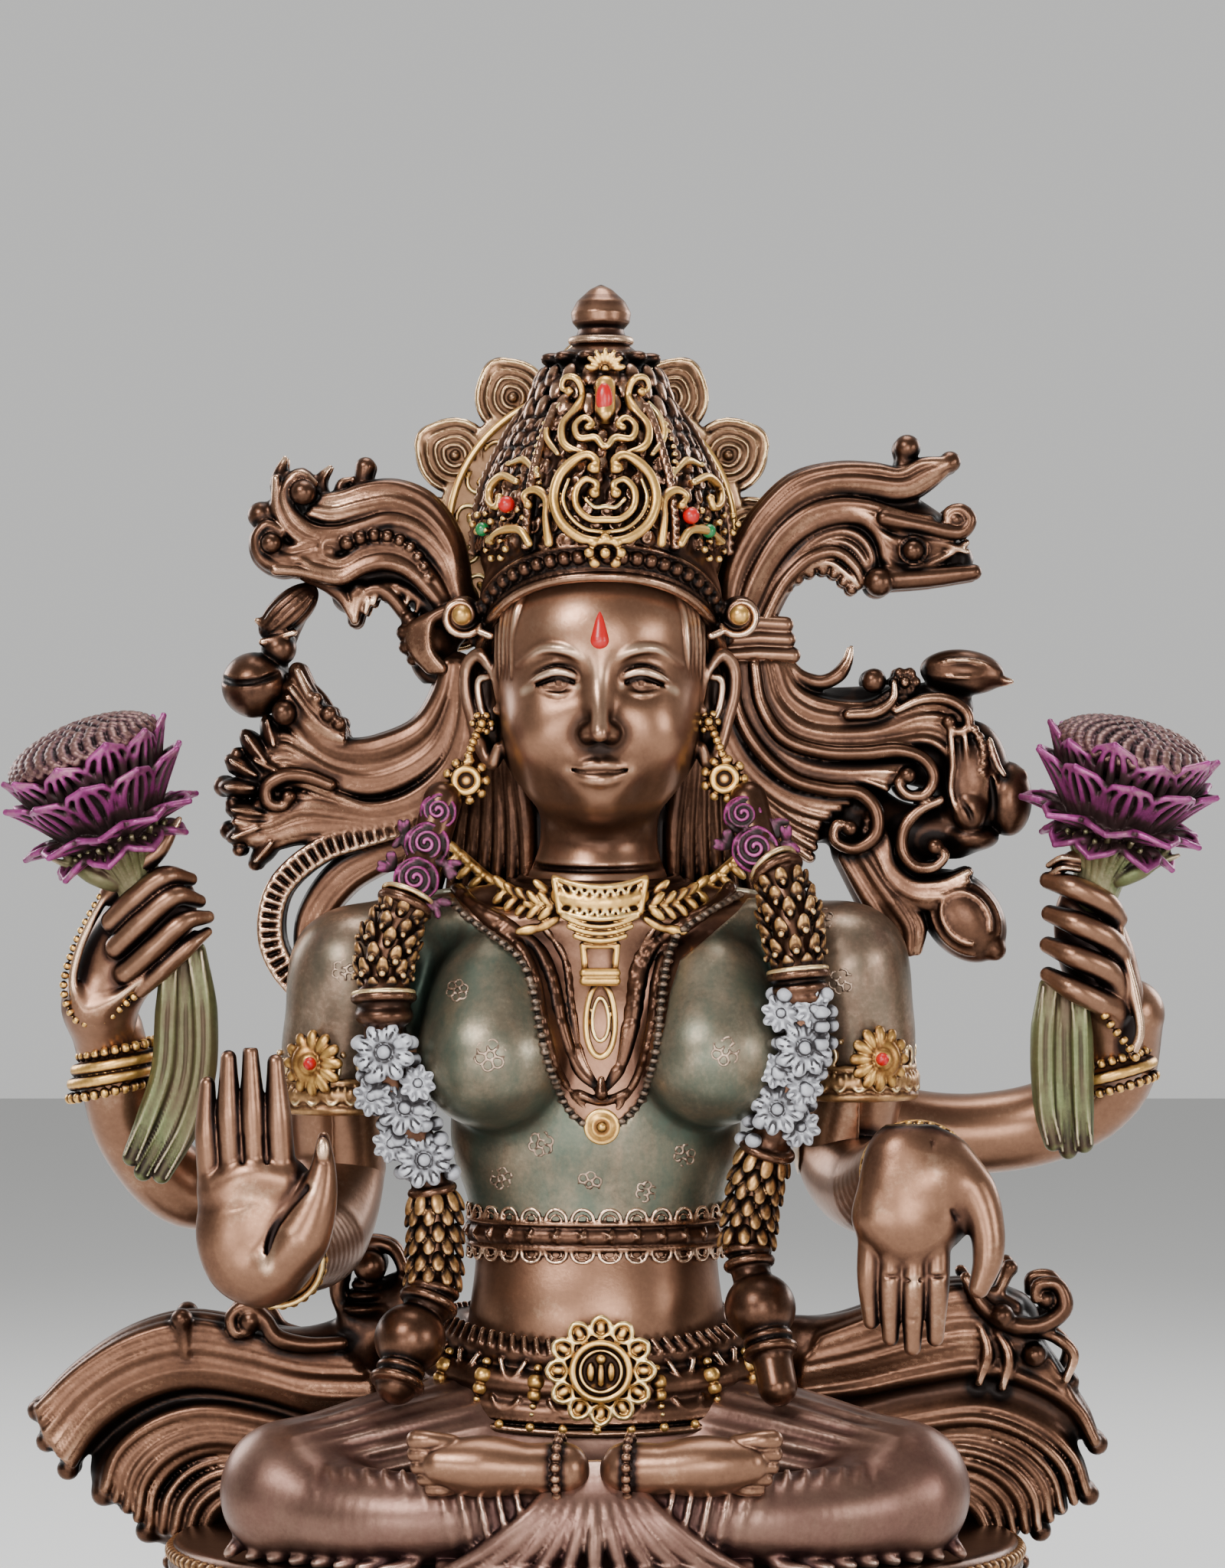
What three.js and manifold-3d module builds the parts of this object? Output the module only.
// A seated four-armed goddess statue on a lotus base, cold-cast bronze, 383 mm tall.
// Millimetres, +Z up, the figure faces -Y. "left" is the viewer's left, at -X.
// The origin is the centre of the felt pad's underside. Every piece is a casting or a
// pin that is glued to its neighbours, so a thin glue line is left round each one.
import * as THREE from 'three';
import { mergeVertices } from 'three/addons/utils/BufferGeometryUtils.js';
import Module from 'manifold-3d';

const wasm = await Module();
wasm.setup();

// ---------------------------------------------------------------- driving dimensions
const GLUE_GAP = 0.35; // between neighbouring castings
const ROUND = 8; // sides of a round casting
const FINE_ROUND = 20; // sides of a large round casting

const BASE = { padTop: 1.5, plinthTop: 22, petalSeam: 56, petalTop: 89, seatTop: 97.5 };
const BASE_RADIUS = { pad: 98, plinth: 102, core: 80, petals: 104, seat: 98 };
const BASE_DEPTH_RATIO = 0.76; // the base is an oval, less deep than it is wide

const TRUNK_DEPTH_RATIO = 0.55;
const TRUNK_Y = 2;
// half width of the trunk at each height, from the hips up to the root of the neck
const TRUNK_PROFILE = [
  [0, 99], [36, 99], [42, 116], [37, 134], [29.5, 148], [28, 160], [29, 172], [31, 183],
  [37, 195], [42, 208], [44, 220], [40, 232], [27, 241], [15.5, 246], [0, 246],
];
const BUST = { radius: 15.5, depth: 17, left: [-23.5, -16, 207], right: [27.3, -16, 208] };

const HEAD = { centre: [1, 0, 291], radii: [24.5, 28, 31], neckRadius: 14.5, neckBase: 246.4 };
const EAR = { x: 26, y: 3, z: 285, radii: [3, 5, 9] };
const CROWN = { centre: [0, 2], bandHeight: 309, topHeight: 359, tipHeight: 383.3, radius: 31 };
const HALO = { centre: [-1, 327], radius: 35, petalRadius: 9, petals: 11, y: 21.6, depth: 5 };
const HALO_RING = { radius: 32, wire: 1.4, y: 19.7 };
const HAIR = { back: 17.6, depth: 13 };
const SCROLL = { back: 26, depth: 15 };

const DOWEL = { neckRadius: 4, armRadius: 2.2, clearance: 0.3 };
const BEAD_RING = { wire: 2, clearance: 0.4 };

// front arms: shoulder, elbow and wrist; rear arms: root, elbow and wrist
const FRONT_ARM = {
  left: { joints: [[-54, 0, 226], [-58, 5, 176], [-69, -32, 163]], radii: [13, 10.5, 8] },
  right: { joints: [[55, 0, 227], [57, 7, 181], [70, -32, 186]], radii: [13, 10.5, 8.5] },
};
const REAR_ARM = {
  left: { joints: [[-36, 17, 212], [-92, 24, 176], [-110, 10, 205]], radii: [10, 9, 7.5] },
  right: { joints: [[36, 17, 212], [112, 24, 190], [119, 10, 210]], radii: [10, 9, 7.5] },
};

// ---------------------------------------------------------------- solid helpers
/** A closed solid from any closed three.js geometry. */
function solid(geometry) {
  const bare = new THREE.BufferGeometry();
  bare.setAttribute('position', geometry.getAttribute('position'));
  bare.setIndex(geometry.index);
  const welded = mergeVertices(bare, 1e-4);
  const corners = welded.index.array;
  const triangles = [];
  for (let i = 0; i < corners.length; i += 3) {
    const [a, b, c] = corners.slice(i, i + 3);
    if (a !== b && b !== c && c !== a) triangles.push(a, b, c);
  }
  return new wasm.Manifold(new wasm.Mesh({
    numProp: 3,
    vertProperties: new Float32Array(welded.getAttribute('position').array),
    triVerts: new Uint32Array(triangles),
  }));
}

/** The three.js geometry of a solid. */
function geometryOf(piece) {
  const mesh = piece.getMesh();
  const geometry = new THREE.BufferGeometry();
  geometry.setAttribute('position', new THREE.BufferAttribute(mesh.vertProperties, 3));
  geometry.setIndex(new THREE.BufferAttribute(mesh.triVerts, 1));
  geometry.computeVertexNormals();
  return geometry;
}

/** The same solid with every face moved out by a distance. */
function grown(piece, distance) {
  const geometry = geometryOf(piece);
  const position = geometry.getAttribute('position');
  const normal = geometry.getAttribute('normal');
  for (let i = 0; i < position.count; i += 1) {
    position.setXYZ(
      i,
      position.getX(i) + distance * normal.getX(i),
      position.getY(i) + distance * normal.getY(i),
      position.getZ(i) + distance * normal.getZ(i),
    );
  }
  return solid(geometry);
}

/** One solid out of several that run into each other. */
function joined(...pieces) {
  return pieces.reduce((whole, piece) => whole.add(piece));
}

/** A piece cut back from its neighbours by the glue gap; chips that the cut frees are dropped. */
function fitted(piece, ...neighbours) {
  const cut = neighbours.reduce((rest, other) => (
    rest.subtract(grown(other, GLUE_GAP).add(other))
  ), piece);
  const bodies = cut.decompose();
  return bodies.reduce((best, body) => (body.volume() > best.volume() ? body : best));
}

function ball(centre, radii, sides = ROUND) {
  const [rx, ry, rz] = [radii].flat().length === 3 ? radii : [radii, radii, radii];
  const rows = Math.max(5, Math.round(sides * 0.6));
  const geometry = new THREE.SphereGeometry(1, sides, rows).rotateX(Math.PI / 2);
  return solid(geometry.scale(rx, ry, rz).translate(...centre));
}

/** A solid of revolution about a vertical axis, from [radius, height] points. */
function turned(profile, { sides = FINE_ROUND, depthRatio = 1, centre = [0, 0] } = {}) {
  const points = profile.map(([radius, height]) => new THREE.Vector2(radius, height));
  const geometry = new THREE.LatheGeometry(points, sides).rotateX(Math.PI / 2);
  return solid(geometry.scale(1, depthRatio, 1).translate(centre[0], centre[1], 0));
}

/** Turns geometry made along +Y so that it runs from one point towards another. */
function aimed(geometry, from, to) {
  const direction = new THREE.Vector3(...to).sub(new THREE.Vector3(...from)).normalize();
  const turn = new THREE.Quaternion().setFromUnitVectors(new THREE.Vector3(0, 1, 0), direction);
  return geometry.applyQuaternion(turn).translate(...from);
}

/** A tapered limb with round ends. */
function limb(from, to, fromRadius, toRadius, sides = ROUND) {
  const length = new THREE.Vector3(...from).distanceTo(new THREE.Vector3(...to));
  const capSteps = 2;
  const profile = [];
  for (let i = 0; i <= capSteps; i += 1) {
    const angle = (Math.PI / 2) * (i / capSteps);
    profile.push([fromRadius * Math.sin(angle), -fromRadius * Math.cos(angle)]);
  }
  for (let i = 0; i <= capSteps; i += 1) {
    const angle = (Math.PI / 2) * (i / capSteps);
    profile.push([toRadius * Math.cos(angle), length + toRadius * Math.sin(angle)]);
  }
  const points = profile.map(([radius, along]) => new THREE.Vector2(Math.max(radius, 0), along));
  return solid(aimed(new THREE.LatheGeometry(points, sides), from, to));
}

/** A chain of limbs through several points. */
function limbs(points, radii, sides = ROUND) {
  const links = points.slice(1).map((point, i) => (
    limb(points[i], point, radii[i], radii[i + 1], sides)
  ));
  return joined(...links);
}

/** An upright plate with a bevelled rim, from an outline of [x, z] points; its back is at y. */
function plate(outline, { back, depth, bevel = 0 }) {
  const shape = new THREE.Shape(outline.map(([x, z]) => new THREE.Vector2(x, z)));
  const geometry = new THREE.ExtrudeGeometry(shape, {
    depth: depth - 2 * bevel,
    bevelEnabled: bevel > 0,
    bevelThickness: bevel,
    bevelSize: bevel,
    bevelOffset: -bevel,
    bevelSegments: 1,
  });
  return solid(geometry.translate(0, 0, bevel).rotateX(Math.PI / 2).translate(0, back, 0));
}

/** A closed smooth outline through [x, z] points. */
function smoothOutline(points, steps) {
  const corners = points.map(([x, z]) => new THREE.Vector3(x, z, 0));
  const curve = new THREE.CatmullRomCurve3(corners, true, 'centripetal');
  return curve.getPoints(steps).slice(0, steps).map((point) => [point.x, point.y]);
}

/** A round bar of even thickness along a smooth path. */
function bar(path, radius, steps, sides = 8) {
  const section = new THREE.Shape();
  for (let i = 0; i < sides; i += 1) {
    const angle = (2 * Math.PI * i) / sides;
    const corner = [radius * Math.cos(angle), radius * Math.sin(angle)];
    if (i === 0) section.moveTo(...corner);
    else section.lineTo(...corner);
  }
  const curve = new THREE.CatmullRomCurve3(path.map((point) => new THREE.Vector3(...point)));
  return solid(new THREE.ExtrudeGeometry(section, { steps, extrudePath: curve }));
}

/** A bead ring round a limb at a point, with the limb running towards another point. */
function beadRing(centre, towards, innerRadius) {
  const { wire, clearance } = BEAD_RING;
  const ring = new THREE.TorusGeometry(innerRadius + wire + clearance, wire, 5, 12);
  return solid(aimed(ring.rotateX(Math.PI / 2), centre, towards));
}

function pointBetween(from, to, share) {
  return from.map((value, i) => value + share * (to[i] - value));
}

// ---------------------------------------------------------------- base
/** An oval ring between two radii and two heights, with a bulging outer face. */
function petalRing(bottom, top, radius, flare) {
  const inner = BASE_RADIUS.core + GLUE_GAP;
  const middle = (bottom + top) / 2;
  const profile = [
    [inner, bottom], [radius - flare, bottom], [radius, middle], [radius - 4, top], [inner, top],
    [inner, bottom],
  ];
  return turned(profile, { depthRatio: BASE_DEPTH_RATIO });
}

function ovalSlab(bottom, top, radius, lip = 0) {
  const profile = [[0, bottom], [radius, bottom], [radius - lip, top], [0, top]];
  return turned(profile, { depthRatio: BASE_DEPTH_RATIO });
}

function makeBase() {
  const gapAbove = (height) => height + GLUE_GAP;
  const { pad, plinth, core, petals, seat } = BASE_RADIUS;
  return {
    felt_pad: ovalSlab(0, BASE.padTop, pad),
    base_plinth: ovalSlab(gapAbove(BASE.padTop), BASE.plinthTop, plinth, 5),
    pedestal_core: ovalSlab(gapAbove(BASE.plinthTop), BASE.petalTop, core),
    petals_lower: petalRing(gapAbove(BASE.plinthTop), BASE.petalSeam, petals - 2, 6),
    petals_upper: petalRing(gapAbove(BASE.petalSeam), BASE.petalTop, petals, 12),
    seat: ovalSlab(gapAbove(BASE.petalTop), BASE.seatTop, seat, 2),
  };
}

// ---------------------------------------------------------------- body
function makeTorso(dowels) {
  const trunk = turned(TRUNK_PROFILE, {
    sides: 16, depthRatio: TRUNK_DEPTH_RATIO, centre: [0, TRUNK_Y],
  });
  const { radius, depth, left, right } = BUST;
  const bust = [left, right].map((centre) => ball(centre, [radius, depth, radius]));
  return dowels.reduce((body, dowel) => (
    body.subtract(grown(dowel, DOWEL.clearance))
  ), joined(trunk, ...bust));
}

/** One folded leg: thigh out to the knee, then the shin back across the middle. */
function foldedLeg(side) {
  const hip = [side * 24, 0, 113];
  const knee = [side * 66, -34, 111];
  const shinEnd = [side * 4, -52, 107];
  return limbs([hip, knee, shinEnd], [19, 17, 12]);
}

function makeFoot(side) {
  return limb([side * 34, -58, 121], [side * 12, -60, 122], 6, 7.5);
}

function makeLegs(seat, torso, feet) {
  const lap = ball([0, -26, 106], [52, 32, 16]);
  const legs = joined(foldedLeg(-1), foldedLeg(1), lap);
  return fitted(legs, seat, torso, ...feet);
}

/** An oval band round the trunk. */
function trunkBand(profile, torso) {
  const band = turned(profile, {
    sides: 16, depthRatio: TRUNK_DEPTH_RATIO + 0.04, centre: [0, TRUNK_Y],
  });
  return fitted(band, torso);
}

function makeBelt(torso, legs) {
  const belt = trunkBand([[24, 131], [43, 131], [34, 148], [24, 148], [24, 131]], torso);
  return fitted(belt, legs);
}

function makeBlouseBand(torso) {
  return trunkBand([[24, 163.5], [31, 163.5], [31.5, 171], [24, 171], [24, 163.5]], torso);
}

function circleOutline(centre, radius, sides = 16) {
  return Array.from({ length: sides }, (_, i) => {
    const angle = (2 * Math.PI * i) / sides;
    return [centre[0] + radius * Math.cos(angle), centre[1] + radius * Math.sin(angle)];
  });
}

function makeBuckle(belt, torso, legs) {
  const disc = plate(circleOutline([1.2, 134], 11.4), { back: -17, depth: 10, bevel: 1.2 });
  return fitted(disc, belt, torso, legs);
}

function makeCollar(...neighbours) {
  const ring = new THREE.TorusGeometry(25, 4.5, 6, 14).scale(1, 0.72, 1);
  return fitted(solid(ring.rotateX(0.35).translate(0, -3, 239)), ...neighbours);
}

function makePendant(torso, collar) {
  const outline = [[-9, 244], [-5, 232], [-4, 212], [0.5, 207], [5, 212], [6, 232], [9, 244]];
  return fitted(plate(outline, { back: -12, depth: 12, bevel: 1 }), torso, collar);
}

function makeBlouseGem(torso) {
  return fitted(ball([1.6, -17.5, 190.4], [4, 4.5, 4], 10), torso);
}

// ---------------------------------------------------------------- throne scrolls
const SCROLL_OUTLINES = {
  left: [
    [-30, 98], [-104, 98], [-122, 106], [-132, 118], [-124, 132], [-106, 145], [-94, 149],
    [-80, 153], [-74, 146], [-66, 142], [-56, 148], [-54, 160], [-46, 166], [-38, 160],
    [-34, 140],
  ],
  right: [
    [30, 98], [34, 140], [42, 156], [56, 149], [72, 155], [86, 158], [97, 162], [108, 152],
    [112, 138], [122, 126], [124, 112], [110, 100], [98, 98],
  ],
};

function makeScroll(side, seat, torso, legs, belt) {
  const slab = plate(smoothOutline(SCROLL_OUTLINES[side], 26), SCROLL);
  return fitted(slab, seat, torso, legs, belt);
}

// ---------------------------------------------------------------- head
function makeHead(dowel) {
  const { centre, radii, neckRadius, neckBase } = HEAD;
  const neck = turned([[0, neckBase], [neckRadius, neckBase], [13.5, 258], [13, 276], [0, 276]], {
    sides: 16,
  });
  const ears = [-1, 1].map((side) => (
    ball([centre[0] + side * EAR.x, EAR.y, EAR.z], EAR.radii, 8)
  ));
  return joined(ball(centre, radii, 14), neck, ...ears).subtract(grown(dowel, DOWEL.clearance));
}

function makeCrownBand(head) {
  const { centre, radius } = CROWN;
  const ring = new THREE.TorusGeometry(radius - 0.5, 4.2, 8, FINE_ROUND).rotateX(0.1);
  return fitted(solid(ring.translate(centre[0], centre[1], CROWN.bandHeight)), head);
}

function makeCrown(head, band) {
  const { centre, radius, bandHeight, topHeight } = CROWN;
  const profile = [
    [0, bandHeight + 2], [radius - 1, bandHeight + 2], [radius, 322], [27, 336], [21, 347],
    [15.4, 352], [15.4, topHeight], [0, topHeight],
  ];
  return fitted(turned(profile, { centre, sides: 20 }), head, band);
}

function makeFinial() {
  const { centre, topHeight, tipHeight } = CROWN;
  const profile = [
    [0, topHeight + GLUE_GAP], [13, topHeight + GLUE_GAP], [11.8, 366], [6, 370], [5.7, 373],
    [6.9, 377], [5, 381], [0, tipHeight],
  ];
  return turned(profile, { centre, sides: 16 });
}

function makeCrownOrnament(crown, band) {
  const outline = [
    [-8, 322], [-10, 332], [-7, 343], [-11, 352], [-7, 361], [2, 357], [11, 361], [15, 352],
    [11, 343], [14, 332], [12, 322],
  ];
  return fitted(plate(outline, { back: -16, depth: 15, bevel: 1.5 }), crown, band);
}

/** The radius of the halo's scalloped rim at an angle. */
function haloRim(angle) {
  const turnsPerPetal = (angle - Math.PI / 2) * (HALO.petals / 2);
  return HALO.radius + HALO.petalRadius * Math.abs(Math.cos(turnsPerPetal));
}

function makeHalo(...neighbours) {
  const steps = 4 * HALO.petals;
  const outline = Array.from({ length: steps }, (_, i) => {
    const angle = Math.PI / 2 + (2 * Math.PI * i) / steps;
    const reach = haloRim(angle);
    return [HALO.centre[0] + reach * Math.cos(angle), HALO.centre[1] + reach * Math.sin(angle)];
  });
  const disc = plate(outline, { back: HALO.y + HALO.depth, depth: HALO.depth });
  return fitted(disc, ...neighbours);
}

function makeHaloRing(...neighbours) {
  const { radius, wire, y } = HALO_RING;
  const [firstAngle, lastAngle] = [-0.25, Math.PI + 0.25];
  const path = Array.from({ length: 13 }, (_, i) => {
    const angle = firstAngle + ((lastAngle - firstAngle) * i) / 12;
    return [
      HALO.centre[0] + radius * Math.cos(angle), y, HALO.centre[1] + radius * Math.sin(angle),
    ];
  });
  return fitted(bar(path, wire, 22, 5), ...neighbours);
}

function makeEarring(side, ...neighbours) {
  const x = 1 + side * 31;
  const drop = joined(ball([x, -3, 270.5], 4.3, 8), ball([x, -2, 276], 2.6, 8));
  return fitted(drop, ...neighbours);
}

// ---------------------------------------------------------------- hair
const HAIR_OUTLINES = {
  plumeLeft: [
    [-30, 300], [-30, 316], [-32, 326], [-44, 335], [-53, 343], [-58, 339], [-62, 342],
    [-65, 338], [-71, 343], [-70, 334], [-78, 332], [-77, 323], [-68, 321], [-60, 314],
    [-56, 306], [-52, 313], [-44, 312], [-39, 306], [-38, 299],
  ],
  plumeRight: [
    [29, 308], [30, 320], [37, 331], [47, 339], [57, 342], [67, 342], [72, 349], [83, 345],
    [80, 335], [87, 326], [86, 316], [73, 319], [65, 312], [59, 318], [50, 318], [44, 308],
  ],
  hairLeft: [
    [-22, 298], [-38, 297.5], [-45, 289], [-54, 284], [-64, 283], [-72, 280], [-85, 268],
    [-80, 261], [-83, 256], [-77, 250], [-80, 240], [-78, 230], [-70, 219], [-65, 228],
    [-56, 236], [-40, 238], [-22, 240],
  ],
  hairRight: [
    [24, 296], [46, 296], [53, 291], [58.6, 299.5], [62, 290], [70, 298], [78, 296], [84, 301],
    [94, 292], [86, 284], [94, 274], [98.5, 264], [94, 256], [85, 250], [92, 242], [94, 232],
    [84, 226], [72, 230], [66, 240], [56, 243], [42, 239], [24, 241],
  ],
};

function hairPlate(name, ...neighbours) {
  return fitted(plate(smoothOutline(HAIR_OUTLINES[name], 36), HAIR), ...neighbours);
}

function makeHairTie(...neighbours) {
  const outline = [[28, 297], [45, 297], [45, 307], [28, 307]];
  return fitted(plate(outline, { back: 18, depth: 15, bevel: 1.5 }), ...neighbours);
}

function makeBudChain(...neighbours) {
  const y = 11;
  const chain = joined(
    ball([-70, y, 311], [6, 5, 7], 8),
    ball([-72, y, 301], [4.5, 4.5, 6], 8),
    ball([-76, y, 291], [8, 6, 7.4], 10),
    ball([-70, y, 283.5], [5, 5, 5], 8),
  );
  return fitted(chain, ...neighbours);
}

function makeHairBack(...neighbours) {
  return fitted(ball([0, 23, 264], [29, 13, 46], 10), ...neighbours);
}

// ---------------------------------------------------------------- arms and hands
function makeArm({ joints, radii }, ...neighbours) {
  return fitted(limbs(joints, radii), ...neighbours);
}

/** The hand raised with its palm to the front. */
function makeRaisedHand(arm) {
  const y = -44;
  const fingers = [[-81.4, -84.8, 199], [-77.1, -80.2, 205.5], [-72.3, -75.6, 207], [-68, -70.2, 204]];
  return fitted(joined(
    ball([-72.5, y, 172], [13, 6, 16]),
    limb([-70.5, -37, 164], [-72, y, 167], 6, 6, 8),
    ...fingers.map(([root, tip, top]) => limb([root, y, 180], [tip, y - 1, top], 3.4, 2.2, 6)),
    limb([-64.5, y - 2, 169], [-59.8, y - 3, 188], 4.5, 2.2, 8),
  ), arm);
}

/** The giving hand, with its palm to the front and its fingers down. */
function makeGivingHand(arm) {
  const y = -45;
  const fingers = [[62.5, 60.3, 151], [67.2, 64.7, 147], [71.6, 69.5, 145], [76.4, 74.7, 147]];
  return fitted(joined(
    ball([72.5, y, 179], [14, 6.5, 14]),
    limb([71, -37, 186], [72.5, y, 182], 7, 7, 8),
    ...fingers.map(([root, tip, end]) => limb([root, y, 170], [tip, y - 1, end], 3.4, 2.2, 6)),
    limb([82.5, y - 1, 177], [85, y - 3, 160], 4.5, 2.4, 8),
  ), arm);
}

/** A fist closed round the lotus stem, with its forefinger up. */
function makeFist(side, x, arm, stem) {
  return fitted(joined(
    ball([side * x, 0, 235], [13, 12, 18], 10),
    limb([side * (x - 4), -4, 245], [side * (x - 7), -6, 259], 3.6, 2.2, 8),
  ), arm, stem);
}

/** A band round the upper arm with a flower on its front. */
function makeArmband({ joints, radii }, arm, ...neighbours) {
  const centre = pointBetween(joints[0], joints[1], 0.46);
  const radius = (radii[0] + radii[1]) / 2 + 2.6;
  const profile = [[radius - 5, -5], [radius, -5], [radius, 5], [radius - 5, 5], [radius - 5, -5]];
  const points = profile.map(([across, along]) => new THREE.Vector2(across, along));
  const band = solid(aimed(new THREE.LatheGeometry(points, 12), centre, joints[0]));
  const flower = plate(circleOutline([centre[0], centre[2] + 1], 6.7, 10), {
    back: centre[1] - radius + 2, depth: 5, bevel: 1,
  });
  return fitted(joined(band, flower), arm, ...neighbours);
}

function makeWristRing({ joints, radii }, ...neighbours) {
  const [, elbow, wrist] = joints;
  const centre = pointBetween(elbow, wrist, 0.82);
  const radius = radii[1] + 0.82 * (radii[2] - radii[1]);
  return fitted(beadRing(centre, elbow, radius), ...neighbours);
}

// ---------------------------------------------------------------- lotuses
const LOTUS = {
  left: { foot: [-107, -2, 252], top: [-119, -7, 283] },
  right: { foot: [115.5, -2, 253], top: [123, -12, 283] },
};
const LOTUS_PROFILE = [[0, 0], [7, 0], [11, 5], [19, 14], [19.5, 22], [17, 29], [0, 33]];
const STEM_PATHS = {
  left: [[-107, -2, 251], [-99, -4, 238], [-92, -7, 215], [-96, -8, 195], [-104, -6, 178]],
  right: [[115.3, -2, 252], [109, -4, 238], [106, -7, 218], [107, -8, 200], [108, -6, 182]],
};

function makeLotus(side) {
  const { foot, top } = LOTUS[side];
  const points = LOTUS_PROFILE.map(([radius, height]) => new THREE.Vector2(radius, height));
  return solid(aimed(new THREE.LatheGeometry(points, 16), foot, top));
}

function makeStem(side, lotus) {
  return fitted(bar(STEM_PATHS[side], 5.4, 9, 7), lotus);
}

// ---------------------------------------------------------------- garlands
const GARLAND_PATHS = {
  left: [
    [-36, -9, 263], [-39, -12, 247], [-47, -16, 232], [-49, -20, 216], [-48, -23, 202],
    [-43, -26, 188], [-38, -25, 174], [-37, -25, 158], [-41, -29, 144], [-45, -33, 132],
  ],
  right: [
    [36, -9, 263], [40, -12, 248], [45, -16, 234], [46, -20, 218], [45, -23, 203],
    [41, -26, 188], [37, -25, 174], [35, -25, 158], [38, -29, 145], [41, -33, 132],
  ],
};

function makeGarland(side, ...neighbours) {
  return fitted(bar(GARLAND_PATHS[side], 7, 14, 7), ...neighbours);
}

// ---------------------------------------------------------------- dowels
function makeNeckDowel() {
  return limb([0, 1, 234], [0, 1, 262], DOWEL.neckRadius, DOWEL.neckRadius, 10);
}

/** A pin that carries a rear arm on the back of the trunk. */
function makeArmDowel(side, { joints }) {
  const inTrunk = [side * 27, 12, 221];
  const inArm = pointBetween(joints[0], joints[1], 0.45);
  return limb(inTrunk, inArm, DOWEL.armRadius, DOWEL.armRadius, 8);
}

// ---------------------------------------------------------------- assembly
const base = makeBase();
const dowels = {
  neck_dowel: makeNeckDowel(),
  arm_dowel_left: makeArmDowel(-1, REAR_ARM.left),
  arm_dowel_right: makeArmDowel(1, REAR_ARM.right),
};
const torso = makeTorso(Object.values(dowels));
const head = makeHead(dowels.neck_dowel);
const feet = { foot_left: makeFoot(-1), foot_right: makeFoot(1) };
const legs = makeLegs(base.seat, torso, Object.values(feet));
const belt = makeBelt(torso, legs);

const crownBand = makeCrownBand(head);
const crown = makeCrown(head, crownBand);
const plumeLeft = hairPlate('plumeLeft', head, crown, crownBand);
const plumeRight = hairPlate('plumeRight', head, crown, crownBand);
const tie = makeHairTie(head, crownBand, plumeRight);
const frontArms = {
  left: makeArm(FRONT_ARM.left, torso),
  right: makeArm(FRONT_ARM.right, torso),
};
const hairLeft = hairPlate('hairLeft', head, torso, frontArms.left, plumeLeft, crownBand);
const hairRight = hairPlate('hairRight', head, torso, frontArms.right, plumeRight, tie, crownBand);
const hairBack = makeHairBack(
  head, torso, crown, crownBand, hairLeft, hairRight, plumeLeft, plumeRight, tie,
);
const headHair = [head, crown, crownBand, plumeLeft, plumeRight, hairLeft, hairRight, hairBack, tie];
const haloRing = makeHaloRing(...headHair);
const collar = makeCollar(torso, head, hairLeft, hairRight, hairBack);
const earrings = {
  earring_left: makeEarring(-1, head, hairLeft, plumeLeft),
  earring_right: makeEarring(1, head, hairRight, tie),
};

const rearArms = {
  left: makeArm(REAR_ARM.left, torso, frontArms.left, hairLeft, dowels.arm_dowel_left),
  right: makeArm(REAR_ARM.right, torso, frontArms.right, hairRight, dowels.arm_dowel_right),
};
const lotuses = { left: makeLotus('left'), right: makeLotus('right') };
const stems = { left: makeStem('left', lotuses.left), right: makeStem('right', lotuses.right) };
const fists = {
  left: makeFist(-1, 102, rearArms.left, stems.left),
  right: makeFist(1, 110, rearArms.right, stems.right),
};
const hands = { left: makeRaisedHand(frontArms.left), right: makeGivingHand(frontArms.right) };
const armbands = {
  left: makeArmband(FRONT_ARM.left, frontArms.left, torso, rearArms.left, hairLeft),
  right: makeArmband(FRONT_ARM.right, frontArms.right, torso, rearArms.right, hairRight),
};

const bronze = { color: 0x6b4636, roughness: 0.38, metalness: 0.85 };
const gold = { color: 0xb08a3e, roughness: 0.4, metalness: 0.9 };
const patina = { color: 0x4c6459, roughness: 0.55, metalness: 0.5 };
const magenta = { color: 0x8a3f8c, roughness: 0.6, metalness: 0.1 };
const leafGreen = { color: 0x56693a, roughness: 0.6, metalness: 0.2 };
const steel = { color: 0x9a9a9c, roughness: 0.35, metalness: 1 };
const felt = { color: 0x27402c, roughness: 0.95, metalness: 0 };

/** A group of named meshes, each with its own material. */
function assembly(name, pieces) {
  const group = new THREE.Group();
  group.name = name;
  for (const [pieceName, [piece, look]] of Object.entries(pieces)) {
    const mesh = new THREE.Mesh(geometryOf(piece), new THREE.MeshStandardMaterial(look));
    mesh.name = pieceName;
    group.add(mesh);
  }
  return group;
}

const baseGroup = assembly('base', {
  felt_pad: [base.felt_pad, felt],
  base_plinth: [base.base_plinth, bronze],
  pedestal_core: [base.pedestal_core, bronze],
  petals_lower: [base.petals_lower, bronze],
  petals_upper: [base.petals_upper, bronze],
  seat: [base.seat, bronze],
  throne_scroll_left: [makeScroll('left', base.seat, torso, legs, belt), bronze],
  throne_scroll_right: [makeScroll('right', base.seat, torso, legs, belt), bronze],
});

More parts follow.
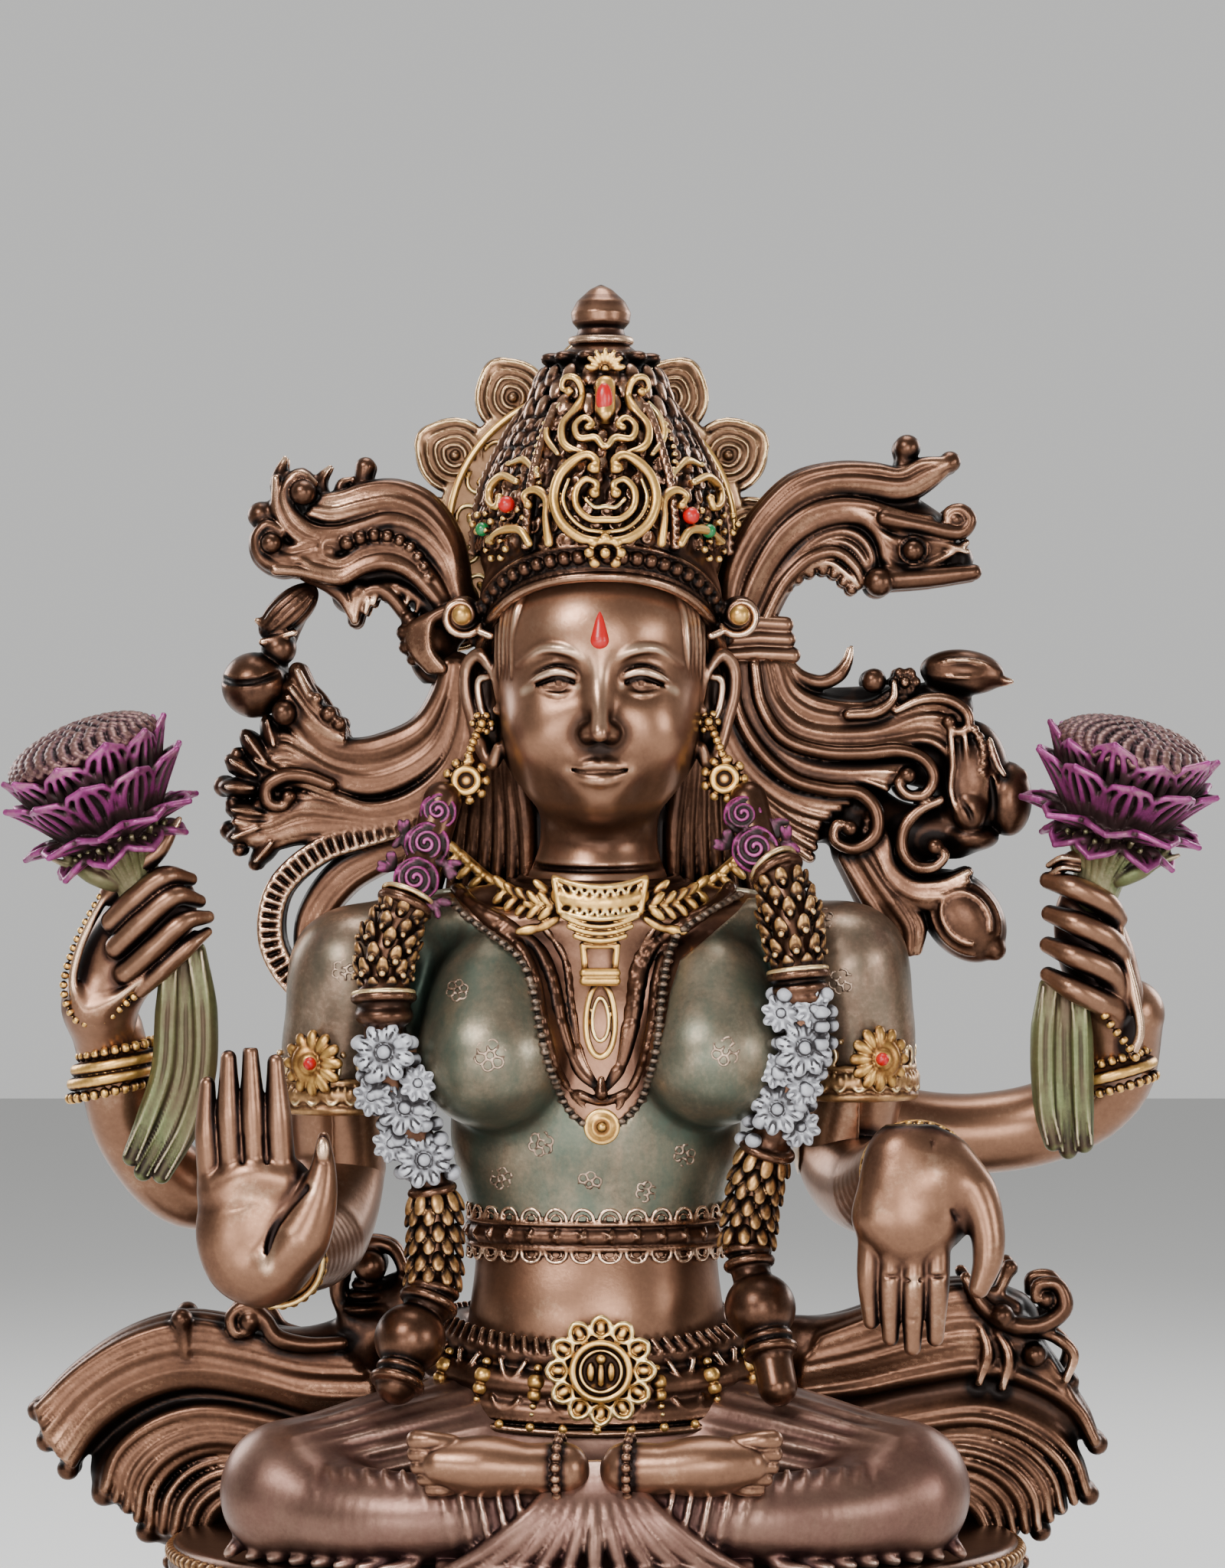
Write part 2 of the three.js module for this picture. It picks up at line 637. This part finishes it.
const bodyGroup = assembly('body', {
  torso: [torso, patina],
  legs_skirt: [legs, bronze],
  foot_left: [feet.foot_left, bronze],
  foot_right: [feet.foot_right, bronze],
  belt: [belt, gold],
  belt_buckle: [makeBuckle(belt, torso, legs), gold],
  blouse_band: [makeBlouseBand(torso), patina],
  blouse_gem: [makeBlouseGem(torso), gold],
  necklace_collar: [collar, gold],
  necklace_pendant: [makePendant(torso, collar), gold],
  neck_dowel: [dowels.neck_dowel, steel],
  arm_dowel_left: [dowels.arm_dowel_left, steel],
  arm_dowel_right: [dowels.arm_dowel_right, steel],
});

const headGroup = assembly('head_and_hair', {
  head: [head, bronze],
  crown: [crown, bronze],
  crown_band: [crownBand, bronze],
  crown_ornament: [makeCrownOrnament(crown, crownBand), gold],
  crown_finial: [makeFinial(), bronze],
  halo: [makeHalo(...headHair, haloRing), bronze],
  halo_ring: [haloRing, gold],
  earring_left: [earrings.earring_left, gold],
  earring_right: [earrings.earring_right, gold],
  plume_left: [plumeLeft, bronze],
  plume_right: [plumeRight, bronze],
  hair_left: [hairLeft, bronze],
  hair_right: [hairRight, bronze],
  hair_back: [hairBack, bronze],
  hair_tie: [tie, bronze],
  bud_chain: [makeBudChain(plumeLeft, hairLeft), bronze],
});

/** The pieces of both arms of one side, and what they hold. */
function armGroup(side) {
  const name = (piece) => `${piece}_${side}`;
  const arms = [frontArms[side], rearArms[side]];
  const chest = [torso, belt, legs, collar, armbands[side], hairLeft, hairRight];
  return assembly(name('arms'), {
    [name('front_arm')]: [frontArms[side], bronze],
    [name('front_hand')]: [hands[side], bronze],
    [name('front_bracelet')]: [makeWristRing(FRONT_ARM[side], frontArms[side], hands[side]), gold],
    [name('armband')]: [armbands[side], gold],
    [name('rear_arm')]: [rearArms[side], bronze],
    [name('rear_hand')]: [fists[side], bronze],
    [name('rear_bracelet')]: [
      makeWristRing(REAR_ARM[side], rearArms[side], fists[side], stems[side]), gold,
    ],
    [name('lotus_flower')]: [lotuses[side], magenta],
    [name('lotus_stem')]: [stems[side], leafGreen],
    [name('garland')]: [
      makeGarland(side, ...chest, ...arms, earrings[`earring_${side}`], head), magenta,
    ],
  });
}

const statue = new THREE.Group();
statue.name = 'statue';
statue.add(baseGroup, bodyGroup, headGroup, armGroup('left'), armGroup('right'));

export default statue;
